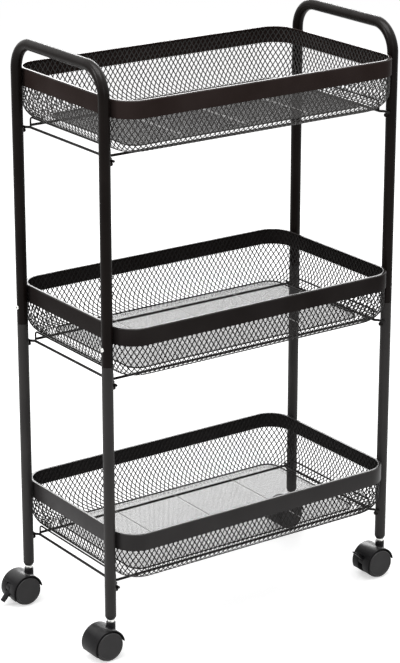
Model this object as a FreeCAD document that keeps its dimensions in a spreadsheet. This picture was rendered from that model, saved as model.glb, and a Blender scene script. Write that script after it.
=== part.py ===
import FreeCAD, Part
import math
import operator
import os
import Sketcher

# Three-tier mesh trolley: two bent tube frames on four legs, three baskets, four swivel casters.
# X runs along the baskets, Y from front (-) to back (+), Z up, with the floor at Z = 0.

doc = FreeCAD.newDocument("mesh_trolley")
sheet = doc.addObject("Spreadsheet::Sheet", "dimensions")

# Driving dimensions in millimetres, and angles in degrees
DRIVING = {
    "leg_spacing_length": 490,
    "leg_spacing_depth": 224,
    "frame_height": 857.5,
    "tube_diameter": 16,
    "tube_wall": 1.2,
    "tube_end_chamfer": 0.4,
    "handle_bend_radius": 40,
    "joint_height": 436.5,
    "leg_end_rise": 15.5,
    "sleeve_below_joint": 20,
    "sleeve_above_joint": 45,
    "sleeve_wall": 1.5,
    "joint_screw_rise": 25,
    "screw_head_diameter": 6.5,
    "screw_head_height": 2.2,
    "screw_shank_diameter": 4,
    "screw_length": 7,
    "handle_rise": 48,
    "middle_rim_height": 492.5,
    "lower_rim_rise": 128,
    "basket_overhang": 33,
    "basket_corner_radius": 38,
    "basket_drop": 78.5,
    "band_height": 25,
    "band_thickness": 1.2,
    "band_edge_round": 1,
    "lip_width": 5,
    "mesh_thickness": 0.5,
    "mesh_bend_radius": 30,
    "platform_inset": 35.6,
    "platform_corner_radius": 20,
    "platform_rise": 6,
    "wire_diameter": 3.8,
    "runner_inset": 10,
    "bracket_inset": 7,
    "bracket_lower_drop": 84,
    "bracket_upper_drop": 69,
    "bracket_overhang": 7,
    "bow_wire_diameter": 2.6,
    "bow_bend_radius": 5,
    "peg_diameter": 6,
    "peg_reach": 4,
    "peg_dome_height": 1,
    "peg_shank_diameter": 4,
    "peg_shank_length": 4,
    "insert_taper_height": 4.2,
    "insert_tip_diameter": 11.6,
    "insert_plug_length": 30,
    "stem_diameter": 8,
    "stem_collar_diameter": 11,
    "stem_collar_height": 4.2,
    "stem_socket_depth": 22,
    "stem_in_neck": 16,
    "caster_trail": 13,
    "neck_diameter": 13.5,
    "wheel_diameter": 45,
    "wheel_width": 8.75,
    "wheel_edge_chamfer": 1.2,
    "wheel_dish_depth": 0.8,
    "wheel_dish_margin": 3.5,
    "wheel_cap_thickness": 3,
    "axle_diameter": 5,
    "web_diameter": 38,
    "hood_gap": 1,
    "hood_wall": 1.3,
    "hood_overhang": 2.5,
    "hood_front_angle": 8,
    "hood_back_angle": 27,
    "lever_width": 10,
    "lever_length": 25,
    "lever_thickness": 4,
    "lever_hub_diameter": 14,
    "lever_pin_diameter": 3,
    "lever_pivot_back": 17.5,
    "lever_pivot_rise": 4.5,
    "lever_side_gap": 0.4,
    "lever_slot_front": 6,
    "lever_slot_room": 1,
    "lever_up_angle": 42,
    "lever_down_angle": 48,
    "seat_gap": 0.1,
    "running_clearance": 0.05,
    "turning_gap": 0.5,
}


class Size:
    """A size that carries both its sheet formula and its present number."""

    def __init__(self, text, number):
        self.text = text
        self.number = number

    def __add__(self, other):
        return combine(self, "+", other)

    def __sub__(self, other):
        return combine(self, "-", other)

    def __mul__(self, other):
        return combine(self, "*", other)

    def __truediv__(self, other):
        return combine(self, "/", other)

    def __neg__(self):
        return combine(self, "*", -1)


OPERATIONS = {"+": operator.add, "-": operator.sub, "*": operator.mul, "/": operator.truediv}


def as_size(value):
    return value if isinstance(value, Size) else Size(f"({value})", value)


def combine(left, sign, right):
    left = as_size(left)
    right = as_size(right)
    number = OPERATIONS[sign](left.number, right.number)
    return Size(f"({left.text} {sign} {right.text})", number)


def fill_sheet():
    sizes = {}
    for row, (alias, value) in enumerate(DRIVING.items(), start=1):
        sheet.set(f"A{row}", alias)
        sheet.set(f"B{row}", str(value))
        sheet.setAlias(f"B{row}", alias)
        sizes[alias] = Size(f"dimensions.{alias}", value)
    doc.recompute()
    return sizes


D = fill_sheet()

# Places that several pieces share
LEG_X = D["leg_spacing_length"] / 2
LEG_Y = D["leg_spacing_depth"] / 2
TUBE_RADIUS = D["tube_diameter"] / 2
TUBE_BORE = D["tube_diameter"] - D["tube_wall"] * 2
SLEEVE_DIAMETER = TUBE_BORE - D["seat_gap"] * 2
BAND_LENGTH = D["leg_spacing_length"] - D["tube_diameter"] - D["seat_gap"] * 2
BAND_DEPTH = D["leg_spacing_depth"] + D["basket_overhang"] * 2
MESH_INSET = D["band_thickness"] + D["seat_gap"]
MESH_LENGTH = BAND_LENGTH - MESH_INSET * 2
MESH_DEPTH = BAND_DEPTH - MESH_INSET * 2
WIRE_RADIUS = D["wire_diameter"] / 2
WIRE_DROP = D["basket_drop"] + D["seat_gap"] + WIRE_RADIUS
RUNNER_Y = LEG_Y - D["runner_inset"]
BRACKET_X = LEG_X - TUBE_RADIUS - D["bracket_inset"]
PEG_DROP = D["bracket_lower_drop"] + WIRE_RADIUS + D["seat_gap"] + D["peg_diameter"] / 2
WHEEL_RADIUS = D["wheel_diameter"] / 2
HOOD_RADIUS = WHEEL_RADIUS + D["hood_gap"] + D["hood_wall"]
LEG_END = D["wheel_diameter"] + D["leg_end_rise"]
INSERT_TIP = LEG_END - D["insert_taper_height"]
STEM_COLLAR_BOTTOM = INSERT_TIP - D["stem_collar_height"]
NECK_TOP = STEM_COLLAR_BOTTOM - D["turning_gap"]
WHEEL_INNER = D["neck_diameter"] / 2 + D["turning_gap"]
WHEEL_OUTER = WHEEL_INNER + D["wheel_width"]
AXLE_RADIUS = D["axle_diameter"] / 2
AXLE_HALF = WHEEL_OUTER - D["wheel_cap_thickness"] - D["turning_gap"]

BASKETS = {
    "top": D["frame_height"] - D["handle_rise"],
    "middle": D["middle_rim_height"],
    "lower": LEG_END + D["lower_rim_rise"],
}
# Each leg's side along X and Y
LEGS = {
    "front_left": (-1, -1),
    "rear_left": (-1, 1),
    "front_right": (1, -1),
    "rear_right": (1, 1),
}
# The casters with a brake lever: the lever's resting angle and whether that is up or down
LEVERS = {
    "rear_left": (D["lever_down_angle"], -1),
    "front_right": (D["lever_up_angle"], 1),
}

nodes = []


def bind(thing, name, size):
    """Ties a property to the sheet."""
    thing.setExpression(name, as_size(size).text)


def finish_node(thing, label):
    thing.Label = label
    nodes.append(thing)
    return thing


def place(thing, x, y, z, axis=(0, 0, 1), angle=0):
    """Turns a piece about an axis by a fixed angle and ties its position to the sheet."""
    thing.Placement = FreeCAD.Placement(FreeCAD.Vector(), FreeCAD.Rotation(FreeCAD.Vector(*axis), angle))
    for letter, size in zip("xyz", (x, y, z)):
        bind(thing, f"Placement.Base.{letter}", size)


def origin_plane(body, role):
    for feature in body.Origin.OriginFeatures:
        if feature.Role == role:
            return feature
    raise ValueError(f"{body.Label} has no {role}")


def new_body(name):
    return doc.addObject("PartDesign::Body", name)


def new_sketch(body, name, role, offset=0):
    sketch = body.newObject("Sketcher::SketchObject", name)
    sketch.AttachmentSupport = [(origin_plane(body, role), "")]
    sketch.MapMode = "FlatFace"
    bind(sketch, "AttachmentOffset.Base.z", offset)
    return sketch


def add_feature(body, kind, name, profile):
    feature = body.newObject(f"PartDesign::{kind}", name)
    feature.Profile = profile
    return feature


def constrain(sketch, size, kind, *where):
    """Adds a dimension to a sketch and ties it to the sheet."""
    index = sketch.addConstraint(Sketcher.Constraint(kind, *where, as_size(size).number))
    bind(sketch, f"Constraints[{index}]", size)


def fix_point(sketch, geometry, end, x, y):
    """Holds one point of a sketch at a place measured from the sketch's origin."""
    for kind, axis, size in (("DistanceX", -2, x), ("DistanceY", -1, y)):
        if as_size(size).text == "(0)":
            sketch.addConstraint(Sketcher.Constraint("PointOnObject", geometry, end, axis))
        else:
            constrain(sketch, size, kind, -1, 1, geometry, end)


def outline(sketch, points, closed=True):
    """Draws straight lines through points whose places come from the sheet."""
    places = [FreeCAD.Vector(as_size(x).number, as_size(y).number, 0) for x, y in points]
    ends = places[1:] + places[:1] if closed else places[1:]
    lines = [Part.LineSegment(start, end) for start, end in zip(places, ends)]
    numbers = sketch.addGeometry(lines, False)
    for before, after in zip(numbers, numbers[1:]):
        sketch.addConstraint(Sketcher.Constraint("Coincident", before, 2, after, 1))
    if closed:
        sketch.addConstraint(Sketcher.Constraint("Coincident", numbers[-1], 2, numbers[0], 1))
    for number, (x, y) in zip(numbers, points):
        fix_point(sketch, number, 1, x, y)
    if not closed:
        fix_point(sketch, numbers[-1], 2, *points[-1])


def circle(sketch, x, y, diameter):
    centre = FreeCAD.Vector(as_size(x).number, as_size(y).number, 0)
    number = sketch.addGeometry(Part.Circle(centre, FreeCAD.Vector(0, 0, 1), diameter.number / 2), False)
    constrain(sketch, diameter, "Diameter", number)
    fix_point(sketch, number, 3, x, y)


def rounded_rectangle(sketch, length, depth, radius):
    """Draws a rectangle with round corners about the sketch's origin, starting on its -Y side."""
    half_x = length.number / 2
    half_y = depth.number / 2
    corner = radius.number
    centres = [(1, -1), (1, 1), (-1, 1), (-1, -1)]
    starts = [(-1, -1, corner, 0), (1, -1, 0, corner), (1, 1, -corner, 0), (-1, 1, 0, -corner)]
    ends = [(1, -1, -corner, 0), (1, 1, 0, -corner), (-1, 1, corner, 0), (-1, -1, 0, corner)]
    pieces = []
    for side in range(4):
        line_ends = []
        for x, y, shift_x, shift_y in (starts[side], ends[side]):
            line_ends.append(FreeCAD.Vector(x * half_x + shift_x, y * half_y + shift_y, 0))
        pieces.append(Part.LineSegment(*line_ends))
        x, y = centres[side]
        centre = FreeCAD.Vector(x * (half_x - corner), y * (half_y - corner), 0)
        ring = Part.Circle(centre, FreeCAD.Vector(0, 0, 1), corner)
        first = math.radians(-90 + 90 * side)
        pieces.append(Part.ArcOfCircle(ring, first, first + math.radians(90)))
    numbers = sketch.addGeometry(pieces, False)
    for index, number in enumerate(numbers):
        sketch.addConstraint(Sketcher.Constraint("Tangent", number, 2, numbers[(index + 1) % 8], 1))
    for index, kind in ((0, "Horizontal"), (2, "Vertical"), (4, "Horizontal"), (6, "Vertical")):
        sketch.addConstraint(Sketcher.Constraint(kind, numbers[index]))
    for index in (3, 5, 7):
        sketch.addConstraint(Sketcher.Constraint("Equal", numbers[1], numbers[index]))
    constrain(sketch, radius, "Radius", numbers[1])
    fix_point(sketch, numbers[1], 3, length / 2 - radius, -(depth / 2 - radius))
    fix_point(sketch, numbers[5], 3, -(length / 2 - radius), depth / 2 - radius)


def edges_where(shape, test):
    """Names the edges of a shape that pass a test."""
    return [f"Edge{number}" for number, edge in enumerate(shape.Edges, start=1) if test(edge)]


def faces_where(shape, test):
    return [f"Face{number}" for number, face in enumerate(shape.Faces, start=1) if test(face)]


def lies_at_height(thing, height):
    box = thing.BoundBox
    return abs(box.ZMin - height) < 1e-4 and abs(box.ZMax - height) < 1e-4


def spin(body, name, role, axis, points):
    """Turns an outline about its sketch's own axis."""
    sketch = new_sketch(body, f"{name}_profile", role)
    outline(sketch, points)
    turned = add_feature(body, "Revolution", name, sketch)
    turned.ReferenceAxis = (sketch, [axis])
    turned.Angle = 360
    return turned


def drill(body, name, holes, diameter, toward_positive, depth):
    """Cuts round holes at (y, z) places from the body's YZ plane out through one side."""
    before = body.Shape.Volume
    sketch = new_sketch(body, f"{name}_places", "YZ_Plane")
    for y, z in holes:
        circle(sketch, y, z, diameter)
    pocket = add_feature(body, "Pocket", name, sketch)
    pocket.Reversed = toward_positive
    bind(pocket, "Length", depth)
    doc.recompute()
    if body.Shape.Volume >= before:
        raise ValueError(f"{name} removes nothing")


def arch(sketch, reach, foot, top, bend):
    """Draws an open path up from one foot, round a bend, across and down again to the other foot."""
    low = foot.number
    high = top.number
    wide = reach.number
    radius = bend.number
    upright = FreeCAD.Vector(0, 0, 1)
    left_round = Part.Circle(FreeCAD.Vector(radius - wide, high - radius, 0), upright, radius)
    right_round = Part.Circle(FreeCAD.Vector(wide - radius, high - radius, 0), upright, radius)
    pieces = [
        Part.LineSegment(FreeCAD.Vector(-wide, low, 0), FreeCAD.Vector(-wide, high - radius, 0)),
        Part.ArcOfCircle(left_round, math.radians(90), math.radians(180)),
        Part.LineSegment(FreeCAD.Vector(radius - wide, high, 0), FreeCAD.Vector(wide - radius, high, 0)),
        Part.ArcOfCircle(right_round, 0, math.radians(90)),
        Part.LineSegment(FreeCAD.Vector(wide, high - radius, 0), FreeCAD.Vector(wide, low, 0)),
    ]
    left, left_bend, bar, right_bend, right = sketch.addGeometry(pieces, False)
    joins = ((left, 2, left_bend, 2), (left_bend, 1, bar, 1), (bar, 2, right_bend, 2), (right_bend, 1, right, 1))
    for join in joins:
        sketch.addConstraint(Sketcher.Constraint("Tangent", *join))
    for number, kind in ((left, "Vertical"), (bar, "Horizontal"), (right, "Vertical")):
        sketch.addConstraint(Sketcher.Constraint(kind, number))
    constrain(sketch, bend, "Radius", left_bend)
    constrain(sketch, bend, "Radius", right_bend)
    fix_point(sketch, left, 1, -reach, foot)
    fix_point(sketch, right, 2, reach, foot)
    constrain(sketch, top, "DistanceY", -1, 1, bar, 1)


def tube_frame(label, side):
    """Bends one tube into the inverted U of a trolley end: two uprights and the handle bar."""
    body = new_body(label)
    path = new_sketch(body, f"{label}_path", "YZ_Plane")
    arch(path, LEG_Y, D["joint_height"], D["frame_height"] - TUBE_RADIUS, D["handle_bend_radius"])
    section = new_sketch(body, f"{label}_section", "XY_Plane", D["joint_height"])
    circle(section, 0, -LEG_Y, D["tube_diameter"])
    circle(section, 0, -LEG_Y, TUBE_BORE)
    pipe = add_feature(body, "AdditivePipe", f"{label}_tube", section)
    pipe.Spine = (path, [f"Edge{number}" for number in range(1, 6)])
    doc.recompute()
    screw_height = D["joint_height"] + D["joint_screw_rise"]
    hole = D["screw_shank_diameter"] + D["running_clearance"] * 2
    places = [(-LEG_Y, screw_height), (LEG_Y, screw_height)]
    drill(body, f"{label}_screw_holes", places, hole, False, D["tube_diameter"])
    peg_height = BASKETS["top"] - PEG_DROP
    hole = D["peg_shank_diameter"] + D["running_clearance"] * 2
    places = [(-LEG_Y, peg_height), (LEG_Y, peg_height)]
    drill(body, f"{label}_peg_holes", places, hole, True, D["tube_diameter"])
    foot = D["joint_height"].number
    rims = edges_where(body.Shape, lambda edge: lies_at_height(edge, foot) and is_round(edge, TUBE_RADIUS))
    chamfer_rims(body, label, rims)
    place(body, LEG_X * side, 0, 0, angle=0 if side < 0 else 180)
    finish_node(body, label)


def is_round(edge, radius):
    curve = edge.Curve
    return isinstance(curve, Part.Circle) and abs(curve.Radius - radius.number) < 1e-4


def chamfer_rims(body, label, edges):
    drilled = body.Tip
    chamfer = body.newObject("PartDesign::Chamfer", f"{label}_rim")
    chamfer.Base = (drilled, edges)
    bind(chamfer, "Size", D["tube_end_chamfer"])


def lower_leg(label, side_x, side_y):
    """A straight tube from the joint down to the caster insert, drilled for two basket pegs."""
    body = new_body(label)
    section = new_sketch(body, f"{label}_section", "XY_Plane", LEG_END)
    circle(section, 0, 0, D["tube_diameter"])
    circle(section, 0, 0, TUBE_BORE)
    tube = add_feature(body, "Pad", f"{label}_tube", section)
    bind(tube, "Length", D["joint_height"] - LEG_END)
    doc.recompute()
    hole = D["peg_shank_diameter"] + D["running_clearance"] * 2
    places = [(0, BASKETS["middle"] - PEG_DROP), (0, BASKETS["lower"] - PEG_DROP)]
    drill(body, f"{label}_peg_holes", places, hole, True, D["tube_diameter"])
    top = D["joint_height"].number
    rims = edges_where(body.Shape, lambda edge: lies_at_height(edge, top) and is_round(edge, TUBE_RADIUS))
    chamfer_rims(body, label, rims)
    place(body, LEG_X * side_x, LEG_Y * side_y, 0, angle=0 if side_x < 0 else 180)
    finish_node(body, label)


def joint_sleeve(label, side_x, side_y):
    """The short inner tube that lines up a frame upright with its lower leg."""
    body = new_body(label)
    section = new_sketch(body, f"{label}_section", "XY_Plane", D["joint_height"] - D["sleeve_below_joint"])
    circle(section, 0, 0, SLEEVE_DIAMETER)
    circle(section, 0, 0, SLEEVE_DIAMETER - D["sleeve_wall"] * 2)
    tube = add_feature(body, "Pad", f"{label}_tube", section)
    bind(tube, "Length", D["sleeve_below_joint"] + D["sleeve_above_joint"])
    doc.recompute()
    hole = D["screw_shank_diameter"] + D["running_clearance"] * 2
    places = [(0, D["joint_height"] + D["joint_screw_rise"])]
    drill(body, f"{label}_screw_hole", places, hole, False, D["tube_diameter"])
    place(body, LEG_X * side_x, LEG_Y * side_y, 0, angle=0 if side_x < 0 else 180)
    finish_node(body, label)


def turned_about_x(name, points):
    """A small round piece whose axis lies along its own X, from an outline of (x, radius) points."""
    body = new_body(name)
    spin(body, f"{name}_turned", "XZ_Plane", "H_Axis", points)
    return body


def joint_screws():
    """Four pan-head screws that hold the sleeves, one through the outer side of each upright."""
    screws = []
    shank = D["screw_shank_diameter"] / 2
    head = D["screw_head_diameter"] / 2
    crown = head / 2
    height = D["screw_head_height"]
    points = [
        (D["screw_length"], 0), (D["screw_length"], shank), (0, shank), (0, head),
        (-(height / 2), head), (-height, crown), (-height, 0),
    ]
    for name, (side_x, side_y) in LEGS.items():
        screw = turned_about_x(f"{name}_joint_screw", points)
        outer = (LEG_X + TUBE_RADIUS) * side_x
        rise = D["joint_height"] + D["joint_screw_rise"]
        place(screw, outer, LEG_Y * side_y, rise, angle=0 if side_x < 0 else 180)
        screws.append(screw)
    group("joint_screws", screws)


def basket_pegs():
    """The pegs in the legs' inner sides that the basket brackets rest on."""
    pegs = []
    radius = D["peg_diameter"] / 2
    shank = D["peg_shank_diameter"] / 2
    reach = D["peg_reach"]
    points = [
        (-D["peg_shank_length"], 0), (-D["peg_shank_length"], shank), (0, shank), (0, radius),
        (reach - D["peg_dome_height"], radius), (reach, radius / 2), (reach, 0),
    ]
    for basket, rim in BASKETS.items():
        for name, (side_x, side_y) in LEGS.items():
            peg = turned_about_x(f"{basket}_{name}_peg", points)
            inner = (LEG_X - TUBE_RADIUS) * side_x
            place(peg, inner, LEG_Y * side_y, rim - PEG_DROP, angle=0 if side_x < 0 else 180)
            pegs.append(peg)
    group("basket_pegs", pegs)


def group(label, pieces):
    compound = doc.addObject("Part::Compound", label)
    compound.Links = pieces
    finish_node(compound, label)


def basket_band(label, rim):
    """The flat strip round a basket's top, with its upper edge turned inward as a lip."""
    body = new_body(label)
    outside = new_sketch(body, f"{label}_outside", "XY_Plane", -D["band_height"])
    rounded_rectangle(outside, BAND_LENGTH, BAND_DEPTH, D["basket_corner_radius"])
    block = add_feature(body, "Pad", f"{label}_block", outside)
    bind(block, "Length", D["band_height"])
    for part, inset, depth in (
            ("strip", D["band_thickness"], D["band_height"] - D["band_thickness"]),
            ("lip", D["lip_width"], D["band_height"])):
        doc.recompute()
        before = body.Shape.Volume
        inside = new_sketch(body, f"{label}_{part}_inside", "XY_Plane", -D["band_height"])
        rounded_rectangle(
            inside, BAND_LENGTH - inset * 2, BAND_DEPTH - inset * 2, D["basket_corner_radius"] - inset)
        pocket = add_feature(body, "Pocket", f"{label}_{part}", inside)
        pocket.Reversed = True
        bind(pocket, "Length", depth)
        doc.recompute()
        if body.Shape.Volume >= before:
            raise ValueError(f"{label} {part} removes nothing")
    half = BAND_LENGTH.number / 2
    lip_edge = half - D["lip_width"].number
    outer_top = edges_where(
        body.Shape, lambda edge: lies_at_height(edge, 0) and outside_of(edge, lip_edge, half))
    fillet = body.newObject("PartDesign::Fillet", f"{label}_round")
    fillet.Base = (pocket, outer_top)
    bind(fillet, "Radius", D["band_edge_round"])
    place(body, 0, 0, rim)
    finish_node(body, label)


def outside_of(edge, inner_half_length, half_length):
    """True for an edge of the outer of two nested outlines, judged by how far it lies from the inner."""
    inset = half_length - inner_half_length
    middle = edge.valueAt((edge.FirstParameter + edge.LastParameter) / 2)
    corner = D["basket_corner_radius"].number
    x = max(abs(middle.x) - (half_length - corner), 0)
    y = max(abs(middle.y) - (BAND_DEPTH.number / 2 - corner), 0)
    return math.hypot(x, y) > corner - inset / 2


def basket_mesh(label, rim):
    """The mesh basket as a thin open shell: straight walls, a bent foot, and a bottom raised inside it."""
    body = new_body(label)
    sketch = new_sketch(body, f"{label}_plan", "XY_Plane", -D["basket_drop"])
    corner = D["basket_corner_radius"] - MESH_INSET
    rounded_rectangle(sketch, MESH_LENGTH, MESH_DEPTH, corner)
    block = add_feature(body, "Pad", f"{label}_block", sketch)
    height = D["basket_drop"] - D["band_thickness"] - D["seat_gap"]
    bind(block, "Length", height)
    doc.recompute()
    bottom = -D["basket_drop"].number
    fillet = body.newObject("PartDesign::Fillet", f"{label}_bend")
    fillet.Base = (block, edges_where(body.Shape, lambda edge: lies_at_height(edge, bottom)))
    bind(fillet, "Radius", D["mesh_bend_radius"])
    doc.recompute()
    top = bottom + height.number
    shell = body.newObject("PartDesign::Thickness", f"{label}_shell")
    shell.Base = (fillet, faces_where(body.Shape, lambda face: lies_at_height(face, top)))
    shell.Reversed = True
    bind(shell, "Value", D["mesh_thickness"])
    raise_bottom(body, label)
    place(body, 0, 0, rim)
    finish_node(body, label)


def raise_bottom(body, label):
    """Lifts the inner part of a basket's bottom into a flat platform with a thin step round it."""
    steps = (
        ("Pad", "platform", D["platform_inset"], D["platform_rise"] + D["mesh_thickness"], 1),
        ("Pocket", "hollow", D["platform_inset"] + D["mesh_thickness"], D["platform_rise"], -1),
    )
    for kind, part, inset, height, change in steps:
        doc.recompute()
        before = body.Shape.Volume
        sketch = new_sketch(body, f"{label}_{part}_plan", "XY_Plane", -D["basket_drop"])
        corner = D["platform_corner_radius"] - (inset - D["platform_inset"])
        rounded_rectangle(sketch, MESH_LENGTH - inset * 2, MESH_DEPTH - inset * 2, corner)
        feature = add_feature(body, kind, f"{label}_{part}", sketch)
        feature.Reversed = kind == "Pocket"
        bind(feature, "Length", height)
        doc.recompute()
        if (body.Shape.Volume - before) * change <= 0:
            raise ValueError(f"{label} {part} changes nothing")


def rod(name, diameter, length, x, y, z, axis, angle):
    """A straight round rod that starts at a place and runs along its own turned Z axis."""
    cylinder = doc.addObject("Part::Cylinder", name)
    bind(cylinder, "Radius", diameter / 2)
    bind(cylinder, "Height", length)
    place(cylinder, x, y, z, axis, angle)
    return cylinder


def rod_along_x(name, diameter, half_length, y, z):
    return rod(name, diameter, half_length * 2, -half_length, y, z, (0, 1, 0), 90)


def rod_along_y(name, diameter, half_length, x, z):
    return rod(name, diameter, half_length * 2, x, -half_length, z, (1, 0, 0), -90)


def bent_rod(name, diameter, path, edges, start, turn):
    """A wire along a drawn path, from a round section placed at the path's start."""
    section = doc.addObject("Sketcher::SketchObject", f"{name}_section")
    circle(section, 0, 0, diameter)
    place(section, *start, *turn)
    sweep = doc.addObject("Part::Sweep", name)
    sweep.Sections = [section]
    sweep.Spine = (path, [f"Edge{number}" for number in range(1, edges + 1)])
    sweep.Solid = True
    return sweep


def fuse(name, pieces):
    union = doc.addObject("Part::MultiFuse", name)
    union.Shapes = pieces
    return union


def basket_runners(label, rim):
    """The two long wires under a basket that run from end bracket to end bracket."""
    half = BRACKET_X - WIRE_RADIUS - D["seat_gap"]
    runners = []
    for side in (-1, 1):
        name = f"{label}_{'front' if side < 0 else 'rear'}"
        runners.append(rod_along_x(name, D["wire_diameter"], half, RUNNER_Y * side, rim - WIRE_DROP))
    group(label, runners)


def basket_bracket(label, rim, side):
    """The welded wire bracket at a basket's end: a cross wire on the leg pegs and the bow above it."""
    step = D["bracket_inset"] - WIRE_RADIUS - D["seat_gap"]
    bend = RUNNER_Y + WIRE_RADIUS
    lower = -D["bracket_lower_drop"]
    upper = -D["bracket_upper_drop"]
    end = LEG_Y + D["bracket_overhang"]
    path = doc.addObject("Sketcher::SketchObject", f"{label}_cross_path")
    points = [
        (-step, -end), (-step, -(bend + step)), (0, -bend), (0, bend), (-step, bend + step), (-step, end),
    ]
    outline(path, points, closed=False)
    place(path, 0, 0, lower)
    cross = bent_rod(f"{label}_cross", D["wire_diameter"], path, 5, (-step, -end, lower), ((1, 0, 0), 90))
    cross.Transition = "Right corner"
    bow_path = doc.addObject("Sketcher::SketchObject", f"{label}_bow_path")
    arch(bow_path, RUNNER_Y, lower, upper, D["bow_bend_radius"])
    place(bow_path, 0, 0, 0, (1, 1, 1), 120)
    foot = (0, -RUNNER_Y, lower)
    bow = bent_rod(f"{label}_bow", D["bow_wire_diameter"], bow_path, 5, foot, ((0, 0, 1), 0))
    bracket = fuse(label, [cross, bow])
    place(bracket, BRACKET_X * side, 0, rim, angle=0 if side < 0 else 180)
    finish_node(bracket, label)


def leg_insert(label, side_x, side_y):
    """The plastic plug in a leg's end, tapered below the tube and bored for the caster stem."""
    body = new_body(label)
    bore = D["stem_diameter"] / 2 + D["running_clearance"]
    plug = SLEEVE_DIAMETER / 2
    socket = INSERT_TIP + D["stem_socket_depth"] + D["seat_gap"]
    top = LEG_END + D["insert_plug_length"]
    points = [
        (bore, INSERT_TIP), (D["insert_tip_diameter"] / 2, INSERT_TIP), (TUBE_RADIUS, LEG_END),
        (plug, LEG_END), (plug, top), (0, top), (0, socket), (bore, socket),
    ]
    spin(body, f"{label}_turned", "XZ_Plane", "V_Axis", points)
    place(body, LEG_X * side_x, LEG_Y * side_y, 0)
    finish_node(body, label)


def caster_stem(label, side_x, side_y):
    """The bright steel stem: its pin turns in the hood's neck and its collar sits under the insert."""
    body = new_body(label)
    radius = D["stem_diameter"] / 2
    collar = D["stem_collar_diameter"] / 2
    low = NECK_TOP - D["stem_in_neck"]
    top = INSERT_TIP + D["stem_socket_depth"]
    points = [
        (0, low), (radius, low), (radius, STEM_COLLAR_BOTTOM), (collar, STEM_COLLAR_BOTTOM),
        (collar, INSERT_TIP), (radius, INSERT_TIP), (radius, top), (0, top),
    ]
    spin(body, f"{label}_turned", "XZ_Plane", "V_Axis", points)
    place(body, LEG_X * side_x, LEG_Y * side_y, 0)
    finish_node(body, label)


def disc(name, radius, half_width):
    """A round slab about the axle, drawn lying down: local Y is up and local Z runs along the axle."""
    slab = doc.addObject("Part::Cylinder", name)
    bind(slab, "Radius", radius)
    bind(slab, "Height", half_width * 2)
    place(slab, -D["caster_trail"], WHEEL_RADIUS, -half_width)
    return slab


def hood_sector(name, radius, half_width):
    """A pie-shaped slice about the axle, from the hood's front end over the top to its back end."""
    sector = disc(name, radius, half_width)
    bind(sector, "Angle", D["hood_back_angle"] - D["hood_front_angle"] + 180)
    bind(sector, "Placement.Rotation.Angle", D["hood_front_angle"])
    return sector


def caster_hood(label, side_x, side_y, has_lever):
    """The caster body: a cover over both wheels, a web between them and a neck round the stem."""
    half_width = WHEEL_OUTER + D["hood_overhang"]
    half_web = D["neck_diameter"] / 2
    cover = doc.addObject("Part::Cut", f"{label}_cover")
    cover.Base = hood_sector(f"{label}_cover_outside", HOOD_RADIUS, half_width)
    cover.Tool = disc(f"{label}_cover_inside", HOOD_RADIUS - D["hood_wall"], half_width + 1)
    web_top = hood_sector(f"{label}_web_top", HOOD_RADIUS - D["hood_wall"] / 2, half_web)
    web = disc(f"{label}_web", D["web_diameter"] / 2, half_web)
    upright = ((1, 0, 0), -90)
    neck_length = NECK_TOP - WHEEL_RADIUS
    neck = rod(f"{label}_neck", D["neck_diameter"], neck_length, 0, WHEEL_RADIUS, 0, *upright)
    bore = D["stem_diameter"] + D["running_clearance"] * 2
    bore_depth = D["stem_in_neck"] + D["turning_gap"]
    cuts = [
        rod(f"{label}_stem_bore", bore, bore_depth + 1, 0, NECK_TOP - bore_depth, 0, *upright),
        disc(f"{label}_axle_bore", AXLE_RADIUS + D["running_clearance"], half_web + 1),
    ]
    if has_lever:
        cuts += lever_room(label, half_web)
    hood = doc.addObject("Part::Cut", label)
    hood.Base = fuse(f"{label}_solid", [cover, web_top, web, neck])
    hood.Tool = fuse(f"{label}_cuts", cuts)
    place(hood, LEG_X * side_x, LEG_Y * side_y, 0, (1, 0, 0), 90)
    finish_node(hood, label)


def lever_room(label, half_web):
    """The slot in the back of a hood that the brake lever swings in, and the hole for its pin."""
    half_slot = D["lever_width"] / 2 + D["lever_side_gap"]
    slot_rise = D["lever_pivot_rise"] + HOOD_RADIUS - D["lever_pivot_back"] + D["lever_slot_room"]
    slot = doc.addObject("Part::Box", f"{label}_lever_slot")
    bind(slot, "Length", HOOD_RADIUS)
    bind(slot, "Width", WHEEL_RADIUS + slot_rise)
    bind(slot, "Height", half_slot * 2)
    place(slot, -(D["caster_trail"] + D["lever_slot_front"] + HOOD_RADIUS), 0, -half_slot)
    pin_hole = disc(
        f"{label}_lever_pin_hole", D["lever_pin_diameter"] / 2 + D["running_clearance"], half_web + 1)
    bind(pin_hole, "Placement.Base.x", -(D["caster_trail"] + D["lever_pivot_back"]))
    bind(pin_hole, "Placement.Base.y", WHEEL_RADIUS + D["lever_pivot_rise"])
    return [slot, pin_hole]


def caster_axle(label, side_x, side_y):
    axle = rod_along_y(label, D["axle_diameter"], AXLE_HALF, LEG_X * side_x - D["caster_trail"], WHEEL_RADIUS)
    bind(axle, "Placement.Base.y", LEG_Y * side_y - AXLE_HALF)
    finish_node(axle, label)


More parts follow.
